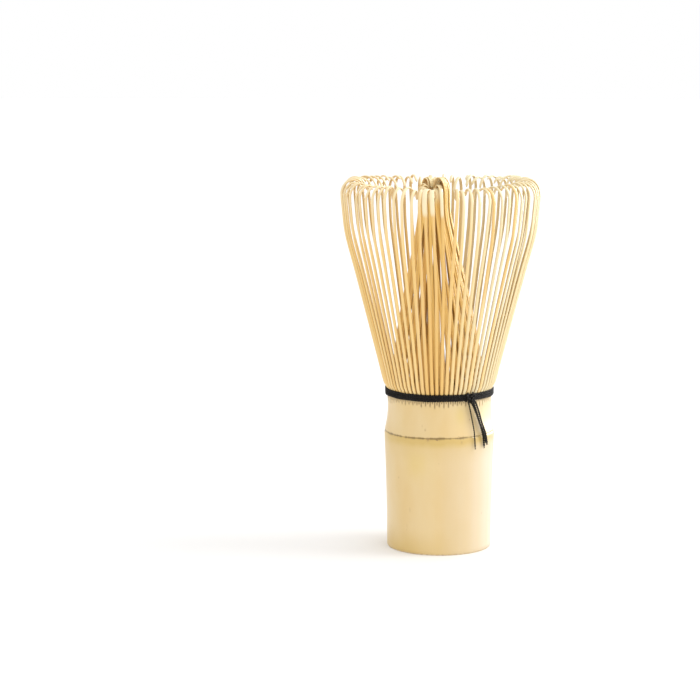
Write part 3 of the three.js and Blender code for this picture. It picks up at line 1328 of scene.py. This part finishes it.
@dataclass
class InnerCrown:
    """The thin inner tines: they lean together in a cone whose apex stands a little off the axis."""

    root_radius: float = 14.1 * MM
    apex_radius: float = 4.35 * MM
    apex_height: float = 101.0 * MM
    apex_lean: Vector = field(default_factory=lambda: Vector((-1.9, 0.3, 0.0)) * MM)
    apex_pitch: float = 0.37 * MM
    widths: tuple[float, ...] = mm(0.86, 0.76, 0.47)
    thicknesses: tuple[float, ...] = mm(0.42, 0.34, 0.30)
    hook_turn: float = math.radians(165)
    lean_power: float = 0.7
    lean_limit: float = 1.2
    closing: tuple[float, float] = (0.35, 0.85)
    out_spread: float = 0.10 * MM
    wobble: float = 0.20 * MM
    curl_range: tuple[float, float] = (0.92, 1.08)
    width_range: tuple[float, float] = (0.92, 1.08)
    twist_spread: float = 8.0
    twist_step: float = 5.0
    hook_start: float = 0.80
    swirl: float = -0.76 * MM
    hooks: tuple[ApexHook, ...] = (
        ApexHook(111.4, 1.9, 4.0, 0.5, 0.0),
        ApexHook(111.2, 1.4, 3.2, 0.2, 0.2),
        ApexHook(110.6, 1.7, 3.4, 0.0, -0.1),
        ApexHook(110.9, 1.2, 3.0, -0.3, 0.2),
        ApexHook(111.0, 1.6, 3.6, 0.2, 0.0, 0.3),
        ApexHook(110.4, 1.3, 3.0, -0.2, -0.2),
        ApexHook(111.3, 1.8, 4.4, 0.3, 0.1, 0.2),
        ApexHook(111.1, 1.5, 4.2, 0.2, -0.1, 0.5),
        ApexHook(109.4, 1.2, 2.8, 0.0, 0.3),
        ApexHook(109.0, 1.5, 3.2, -0.2, 0.0),
        ApexHook(108.6, 1.2, 2.8, 0.1, -0.2),
        ApexHook(108.4, 1.4, 3.0, 0.2, 0.0),
        ApexHook(107.8, 1.1, 2.6, -1.3, 0.0, 0.9),
        ApexHook(107.6, 1.3, 3.0, 0.3, 0.0),
        ApexHook(108.2, 1.2, 3.0, -0.1, 0.45),
        ApexHook(109.3, 1.5, 3.4, 0.3, 0.2),
        ApexHook(111.5, 2.3, 4.8, 0.6, 0.0),
        ApexHook(111.4, 2.6, 5.0, 0.8, 0.1),
    )
    seed: int = 19

    def face(self, dice: random.Random, reach: float, rise: float, top: float, out: float) -> np.ndarray:
        """The side view of one tine's outer face.

        Args:
            dice: the source of its small differences.
            reach: how far its hook reaches in towards the axis.
            rise: the height of its hook.
            top: the height of its highest point.
            out: how much further out than the others its apex stands.

        Returns:
            Its radius and height, sample by sample.
        """
        neck = self.apex_radius + out + dice.gauss(0, self.out_spread)
        foot = CULM_TOP + 0.3 * MM
        stem = [
            (self.root_radius, foot),
            mm(14.1, 49.0),
            mm(12.75, 59.0),
            (10.90 * MM + out * 0.3, 70.0 * MM),
            (8.60 * MM + out * 0.5, 81.0 * MM),
            (6.25 * MM + out * 0.8, 92.0 * MM),
            (neck, self.apex_height),
        ]
        turns = np.linspace(0.0, self.hook_turn * dice.uniform(*self.curl_range), 8)
        hook = [(neck - 0.1 * MM - reach * (1 - math.cos(t)), top - rise * (1 - math.sin(t))) for t in turns]
        return curve_through([*stem, *hook])

    def build(self, finishes: Finishes) -> list[bpy.types.Object]:
        """Makes each splint's tines as one piece. They rest on each other and ride on the handle.

        Args:
            finishes: the materials.

        Returns:
            The pieces.
        """
        dice = random.Random(self.seed)
        made = []
        for index, node in enumerate(INNER_NODES):
            middle = splint_turn(index)
            hook = self.hooks[index]
            top, reach, rise, out, aside = mm(hook.top, hook.reach, hook.rise, hook.out, hook.aside)
            aside += self.swirl
            loft = Loft(node.replace("splint", "tines"))
            for step in TINE_STEPS:
                turn = middle + step * TINE_ANGLE
                tone = max(dice.random() * 0.9, hook.deepness)
                self.tine(turn, step, dice, self.face(dice, reach, rise, top, out), aside, tone).add_to(loft)
            self.lean(loft)
            piece = dressed(loft.piece(finishes.inner), "bamboo_inner", node)
            made.append(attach(piece, HANDLE))
        return made

    def tine(
        self, turn: float, step: float, dice: random.Random, face: np.ndarray, aside: float, tone: float
    ) -> Tine:
        """One tine, which closes up to its neighbours towards the apex.

        Args:
            turn: its turn at the root.
            step: its place in the splint, counted in tines from the middle.
            dice: the source of its small differences.
            face: the side view of its outer face.
            aside: how far the whole splint's apex stands to one side.
            tone: how deep its colour is.

        Returns:
            The tine.
        """
        lengths = lengths_along(face) / lengths_along(face)[-1]
        shares = np.linspace(0, 1, 24)
        radii = np.interp(shares, lengths, face[:, 0])
        closing = smooth_step(*self.closing, shares)
        wanted = step * (self.apex_pitch * closing + radii * TINE_ANGLE * (1 - closing))
        wobble = dice.gauss(0, self.wobble) * np.sin(math.pi * np.clip(shares / 0.9, 0, 1))
        return Tine(
            turn=turn - step * TINE_ANGLE,
            face=face,
            widths=tuple(width * dice.uniform(*self.width_range) for width in self.widths),
            thicknesses=self.thicknesses,
            sway=np.stack([shares, wanted + closing * aside + wobble], axis=1),
            twist=math.radians(dice.gauss(0, self.twist_spread) + step * self.twist_step),
            tone=tone,
            grain_offset=dice.uniform(0, 1),
            hook_start=self.hook_start,
        )

    def lean(self, loft: Loft) -> None:
        """Leans the tines aside, all together and more towards their tops.

        Args:
            loft: the tubes of the tines.
        """
        for points in loft.points:
            risen = (points[:, 2:] - CULM_TOP) / (self.apex_height - CULM_TOP)
            points += np.clip(risen, 0, self.lean_limit) ** self.lean_power * np.array(self.apex_lean)


# ---- The binding ----


@dataclass(frozen=True)
class Strand:
    """A thread of twisted plies: its radius, the length of one twist, and how finely it is made."""

    radius: float = 0.335 * MM
    plies: int = 2
    lay: float = 1.5 * MM
    facets: int = 7
    step: float = 0.17 * MM

    def along(
        self,
        loft: Loft,
        path: np.ndarray,
        beside: Callable[[np.ndarray], np.ndarray],
        closed: bool = False,
        taper: float = 0.0,
    ) -> None:
        """Lays the thread along a path.

        Args:
            loft: where its tubes go.
            path: the points of its centre line. A closed path's last point repeats its first.
            beside: gives, for each point, a direction that isn't along the path.
            closed: whether its ends join.
            taper: the length over which an open thread thins at its start and its end.
        """
        total = lengths_along(path)[-1]
        count = max(int(total / self.step), 8)
        length = np.linspace(0, total, count + 1)
        centre = resampled(path, length)
        if closed:
            centre, length = centre[:-1], length[:-1]
            along = np.roll(centre, -1, axis=0) - np.roll(centre, 1, axis=0)
        else:
            along = np.gradient(centre, axis=0)
        along /= np.linalg.norm(along, axis=1)[:, None]
        first = np.cross(along, beside(centre))
        first /= np.linalg.norm(first, axis=1)[:, None]
        second = np.cross(along, first)
        turns = max(round(total / self.lay), 1) * 2 * math.pi / total
        thin = np.ones_like(length)
        if taper:
            thin = 0.25 + 0.75 * smooth_step(0, taper, np.minimum(length, total - length))
        ply = self.radius / 2
        around = np.linspace(0, 2 * math.pi, self.facets, endpoint=False)
        for k in range(self.plies):
            wind = length * turns + k * 2 * math.pi / self.plies
            aside = np.cos(wind)[:, None] * first + np.sin(wind)[:, None] * second
            line = centre + ply * thin[:, None] * aside
            reach = (1.12 * ply * thin)[:, None]
            x, y = reach * np.cos(around), reach * np.sin(around)
            rings = line[:, None] + x[..., None] * first[:, None] + y[..., None] * second[:, None]
            run = np.broadcast_to(length[:, None], x.shape)
            loft.tube(rings, closed, grain=np.stack([x + k * MM, y, run], axis=2))


def upward(points: np.ndarray) -> np.ndarray:
    """Straight up, for each point."""
    return np.broadcast_to(np.array([0.0, 0.0, 1.0]), points.shape)


def outward(points: np.ndarray) -> np.ndarray:
    """Level and away from the axis, for each point."""
    return points * np.array([1.0, 1.0, 0.0])


def ring_path(
    radius: Callable[[float], float], height: Callable[[float], float], steps: int = 1440
) -> np.ndarray:
    """A closed path round the whisk, whose radius and height depend on the turn."""
    turns = np.linspace(0, 2 * math.pi, steps + 1)
    return np.array([place(turn, radius(turn), height(turn)) for turn in turns])


@dataclass
class Binding:
    """The black thread: wound outside the roots, woven between the tines, and passed between the crowns."""

    strand: Strand = Strand()
    woven: Strand = Strand(radius=0.25 * MM)
    passed: Strand = Strand(radius=0.27 * MM)
    up_wander: float = 0.12 * MM
    out_wander: float = 0.10 * MM
    under_depth: float = 0.24 * MM
    spare_round: float = 0.36 * MM
    weave_middle: float = 0.42 * MM
    weave_in: float = 0.50 * MM
    weave_rise: float = 0.10 * MM
    inner_radius: float = 14.72 * MM
    inner_rounds: int = 3
    inner_level: float = 0.35 * MM
    inner_pitch: float = 0.55 * MM

    @staticmethod
    def unevenness(level: float, size: float) -> Callable[[float], float]:
        """A small wander of the thread round the whisk, as a function of the turn."""
        return lambda turn: size * noise_round(turn, 3, level)

    def winding(self, name: str, node: str) -> Loft:
        """One of the rounds that lie outside the roots, over another that shows between the tines.

        Args:
            name: the piece's name.
            node: the frame's round that it stands for. Under the lowest one lies a thin spare round.

        Returns:
            The rounds.
        """
        low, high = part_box(node)
        middle, radius = (low.z + high.z) / 2, (high.x - 0.25 * MM)
        up = self.unevenness(middle / MM, self.up_wander)
        out = self.unevenness(middle / MM + 40, self.out_wander)
        loft = Loft(name)
        path = ring_path(lambda t: radius + out(t), lambda t: middle + up(t))
        self.strand.along(loft, path, upward, closed=True)
        path = ring_path(lambda t: radius - self.under_depth, lambda t: middle + up(t) - high.z + middle)
        self.strand.along(loft, path, upward, closed=True)
        if node == "thread_round_lower":
            path = ring_path(
                lambda t: radius - 0.08 * MM + out(t + 1),
                lambda t: middle - self.spare_round + up(t + 2),
            )
            self.strand.along(loft, path, upward, closed=True)
        return loft

    def weave(self, loft: Loft) -> None:
        """The top round, which passes over each outer tine and in between it and the next.

        Args:
            loft: where the round goes.
        """
        count = len(OUTER_NODES) * TINES_PER_SPLINT
        radius = BAND_RADIUS - 0.22 * MM
        middle = BAND_HIGH - self.weave_middle

        def sunk(turn: float) -> float:
            """0 on a tine, 1 between two."""
            return 0.5 - 0.5 * math.cos(count * (turn - TINE_ANGLE / 2))

        path = ring_path(
            lambda t: radius - self.weave_in * sunk(t),
            lambda t: middle + self.weave_rise * sunk(t),
            steps=count * 24,
        )
        self.woven.along(loft, path, upward, closed=True)

    def between(self) -> Loft:
        """The rounds between the crowns.

        Returns:
            The tubes of the rounds.
        """
        loft = Loft("thread_between")
        for level in range(self.inner_rounds):
            base = BAND_LOW + self.inner_level + self.inner_pitch * level
            radius = self.inner_radius + 0.1 * MM * level
            up = self.unevenness(base / MM + 7, 0.15 * MM)
            path = ring_path(lambda t, radius=radius: radius, lambda t, base=base, up=up: base + up(t))
            self.passed.along(loft, path, outward, closed=True)
        return loft

    def build(self, finishes: Finishes) -> list[bpy.types.Object]:
        """Makes the rounds, which ride on the handle.

        Args:
            finishes: the materials.

        Returns:
            The pieces.
        """
        names = {
            "thread_winding_lower": "thread_round_lower",
            "thread_winding_middle": "thread_round_middle",
            "thread_winding_upper": "thread_round_upper",
        }
        made = []
        for name, node in names.items():
            loft = self.winding(name, node)
            if node == "thread_round_upper":
                self.weave(loft)
            made.append(dressed(loft.piece(finishes.thread), "thread", node))
        made.append(dressed(self.between().piece(finishes.thread), "thread", "thread_round_inner"))
        return [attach(piece, HANDLE) for piece in made]


@dataclass(frozen=True)
class ThreadEnd:
    """One hanging end: its thread, and its points from the top, in degrees round and millimetres."""

    strand: Strand
    turns: tuple[float, ...]
    heights: tuple[float, ...]
    outs: tuple[float, ...]

    def points(self) -> list[Vector]:
        """Its points, in metres."""
        rows = zip(self.turns, self.outs, self.heights)
        return [place(math.radians(turn), *mm(out, height)) for turn, out, height in rows]


@dataclass
class Knot:
    """The knot that ties off the binding, and the thread ends that hang from it."""

    size: tuple[float, float, float] = mm(0.50, 0.44, 0.44)
    tied: Strand = Strand(radius=0.27 * MM)
    wrapped: Strand = Strand(radius=0.25 * MM)
    wrap_turns: tuple[float, ...] = (-0.055, 0.05)
    wrap_out: float = 0.62 * MM
    wrap_rise: float = 1.25 * MM
    hair: Strand = Strand(radius=0.085 * MM, facets=5)
    hairs: int = 5
    fray: float = 0.72 * MM
    fray_spread: float = 0.28
    ends: tuple[ThreadEnd, ...] = (
        ThreadEnd(
            Strand(radius=0.22 * MM, lay=1.2 * MM),
            turns=(30.6, 32.2, 35.0, 37.6, 39.1),
            heights=(46.2, 44.6, 41.6, 37.0, 32.4),
            outs=(17.0, 16.75, 16.6, 17.0, 16.95),
        ),
        ThreadEnd(
            Strand(radius=0.33 * MM, lay=1.4 * MM),
            turns=(33.6, 38.4, 44.2, 49.5, 52.2),
            heights=(46.2, 43.9, 40.6, 36.0, 32.2),
            outs=(17.0, 16.75, 16.6, 17.0, 16.95),
        ),
        ThreadEnd(
            Strand(radius=0.34 * MM, lay=1.3 * MM),
            turns=(38.0, 43.6, 49.0, 53.6, 57.0),
            heights=(46.2, 43.2, 39.6, 36.2, 33.0),
            outs=(17.0, 16.75, 16.6, 17.0, 16.95),
        ),
        ThreadEnd(
            Strand(radius=0.31 * MM, lay=1.5 * MM),
            turns=(34.6, 38.8, 44.0, 49.0, 52.2),
            heights=(46.2, 43.4, 39.8, 36.2, 33.6),
            outs=(17.6, 17.35, 17.2, 17.55, 17.5),
        ),
    )
    seed: int = 3

    def centre(self) -> Vector:
        """The middle of the frame's knot."""
        low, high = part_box("thread_knot")
        return (low + high) / 2

    def knot(self) -> Loft:
        """An overhand knot lying against the band, with two turns wrapped over it.

        Returns:
            The tubes of the knot.
        """
        middle = self.centre()
        turn = math.atan2(middle.x, -middle.y)
        out, around = out_from_axis(turn), round_axis(turn)
        loft = Loft("thread_knot_tied")
        path = []
        for t in np.linspace(0, 2 * math.pi, 121):
            x = math.sin(t) + 2 * math.sin(2 * t)
            y = math.cos(t) - 2 * math.cos(2 * t)
            z = -math.sin(3 * t)
            point = middle + around * (x * self.size[0]) + out * (z * self.size[1])
            path.append(point + Vector((0, 0, y * self.size[2])))
        self.tied.along(loft, np.array(path), lambda p: np.broadcast_to(out, p.shape), closed=True)
        band = (BAND_LOW + BAND_HIGH) / 2
        for aside in self.wrap_turns:
            at = turn + aside
            loop = [
                place(at + 0.02 * math.sin(t), BAND_RADIUS - 0.15 * MM + self.wrap_out * math.cos(t), band)
                + Vector((0, 0, self.wrap_rise * math.sin(t)))
                for t in np.linspace(0, 2 * math.pi, 49)
            ]
            beside = np.array(round_axis(at))
            self.wrapped.along(
                loft, np.array(loop), lambda p, beside=beside: np.broadcast_to(beside, p.shape), closed=True
            )
        return loft

    def tail(self, index: int, dice: random.Random) -> Loft:
        """One hanging end, run up into the knot and frayed where it was cut.

        Args:
            index: which of the ends it is.
            dice: the source of its unevenness.

        Returns:
            The tubes of the end.
        """
        end = self.ends[index]
        points = end.points()
        middle = self.centre()
        loft = Loft(f"thread_end_{index + 1}")
        start = middle + (points[0] - middle) * 0.25
        path = curve_through([start, *points], 16)
        end.strand.along(loft, path, outward)
        tip, onward = Vector(path[-1]), Vector(path[-1] - path[-5]).normalized()
        for _ in range(self.hairs):
            spread = Vector((dice.gauss(0, 1), dice.gauss(0, 1), dice.gauss(0, 1))) * self.fray_spread
            heading = (onward + spread).normalized()
            reach = self.fray * dice.uniform(0.5, 1.0)
            hair = curve_through([tip - onward * 0.4 * MM, tip + onward * 0.1 * MM, tip + heading * reach], 6)
            self.hair.along(loft, hair, outward)
        return loft

    def build(self, finishes: Finishes) -> list[bpy.types.Object]:
        """Makes the knot and its ends, which ride on the handle.

        Args:
            finishes: the materials.

        Returns:
            The pieces.
        """
        dice = random.Random(self.seed)
        made = [dressed(self.knot().piece(finishes.thread), "thread", "thread_knot")]
        for index, node in enumerate(TAIL_NODES):
            made.append(dressed(self.tail(index, dice).piece(finishes.thread), "thread", node))
        return [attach(piece, HANDLE) for piece in made]


# ---- The studio ----


@dataclass(frozen=True)
class Lamp:
    """A soft square lamp that faces the whisk. A gloss-only one shows in the gloss but doesn't light."""

    name: str
    turn: float
    distance: float
    height: float
    size: float
    power: float
    gloss_only: bool = False

    def hang(self, aim: Vector) -> None:
        """Adds the lamp to the scene, facing aim.

        Args:
            aim: the point it faces.
        """
        data = bpy.data.lights.new(self.name, "AREA")
        data.shape = "SQUARE"
        data.size = self.size
        data.energy = self.power
        lamp = bpy.data.objects.new(self.name, data)
        lamp.visible_diffuse = not self.gloss_only
        lamp.location = place(math.radians(self.turn), self.distance, self.height)
        lamp.rotation_euler = (aim - lamp.location).to_track_quat("-Z", "Y").to_euler()
        bpy.context.scene.collection.objects.link(lamp)


@dataclass
class Studio:
    """A white sweep under soft light, and the camera."""

    camera_place: Vector = field(default_factory=lambda: Vector((0.0, -0.7062, 0.1657)))
    tilt_down: float = math.radians(8.56)
    pan_left: float = math.radians(2.18)
    lens: float = 122.4
    sensor: float = 36.0
    sky: float = 1.0
    floor_size: float = 6.0
    sun: float = 0.80
    sun_turn: float = math.radians(92)
    sun_height: float = math.radians(42)
    sun_spread: float = math.radians(28)
    lamps: tuple[Lamp, ...] = (
        Lamp("fill", turn=45, distance=1.2, height=0.45, size=0.9, power=1.6),
        Lamp("softbox", turn=118, distance=0.8, height=0.25, size=1.0, power=28.0, gloss_only=True),
    )

    def set_camera(self) -> None:
        """Puts the camera in place."""
        data = bpy.data.cameras.new("camera")
        data.lens, data.sensor_width = self.lens, self.sensor
        data.clip_start, data.clip_end = 0.01, 20.0
        camera = bpy.data.objects.new("camera", data)
        camera.location = self.camera_place
        camera.rotation_euler = (math.pi / 2 - self.tilt_down, 0.0, self.pan_left)
        bpy.context.scene.collection.objects.link(camera)
        bpy.context.scene.camera = camera

    def lay_floor(self) -> None:
        """Lays the paper."""
        half = self.floor_size / 2
        mesh = bpy.data.meshes.new("floor")
        corners = [(-half, -half, 0), (half, -half, 0), (half, half, 0), (-half, half, 0)]
        mesh.from_pydata(corners, [], [(0, 1, 2, 3)])
        mesh.materials.append(WhitePaper().make())
        floor = bpy.data.objects.new("floor", mesh)
        bpy.context.scene.collection.objects.link(floor)

    def set_light(self) -> None:
        """Lights the whisk from all round, and more from its right."""
        scene = bpy.context.scene
        scene.view_settings.view_transform = "Standard"
        world = bpy.data.worlds.new("white_room")
        world.use_nodes = True
        background = world.node_tree.nodes["Background"]
        background.inputs["Color"].default_value = (1.0, 1.0, 1.0, 1.0)
        background.inputs["Strength"].default_value = self.sky
        scene.world = world
        data = bpy.data.lights.new("sun", "SUN")
        data.energy, data.angle = self.sun, self.sun_spread
        sun = bpy.data.objects.new("sun", data)
        towards = place(self.sun_turn, math.cos(self.sun_height), math.sin(self.sun_height))
        sun.rotation_euler = towards.to_track_quat("Z", "Y").to_euler()
        scene.collection.objects.link(sun)
        for lamp in self.lamps:
            lamp.hang(Vector((0.0, 0.0, CROWN_TOP / 2)))

    def build(self) -> None:
        """Sets the whole studio."""
        self.set_camera()
        self.lay_floor()
        self.set_light()


def main() -> None:
    """Builds the whisk from the handle up, then ties it and sets the studio."""
    logging.basicConfig(level=logging.INFO, format="%(name)s: %(message)s")
    Studio().build()
    finishes = Finishes.make()
    Culm().build(finishes)
    OuterCrown().build(finishes)
    InnerCrown().build(finishes)
    Binding().build(finishes)
    Knot().build(finishes)


if __name__ == "__main__":
    main()
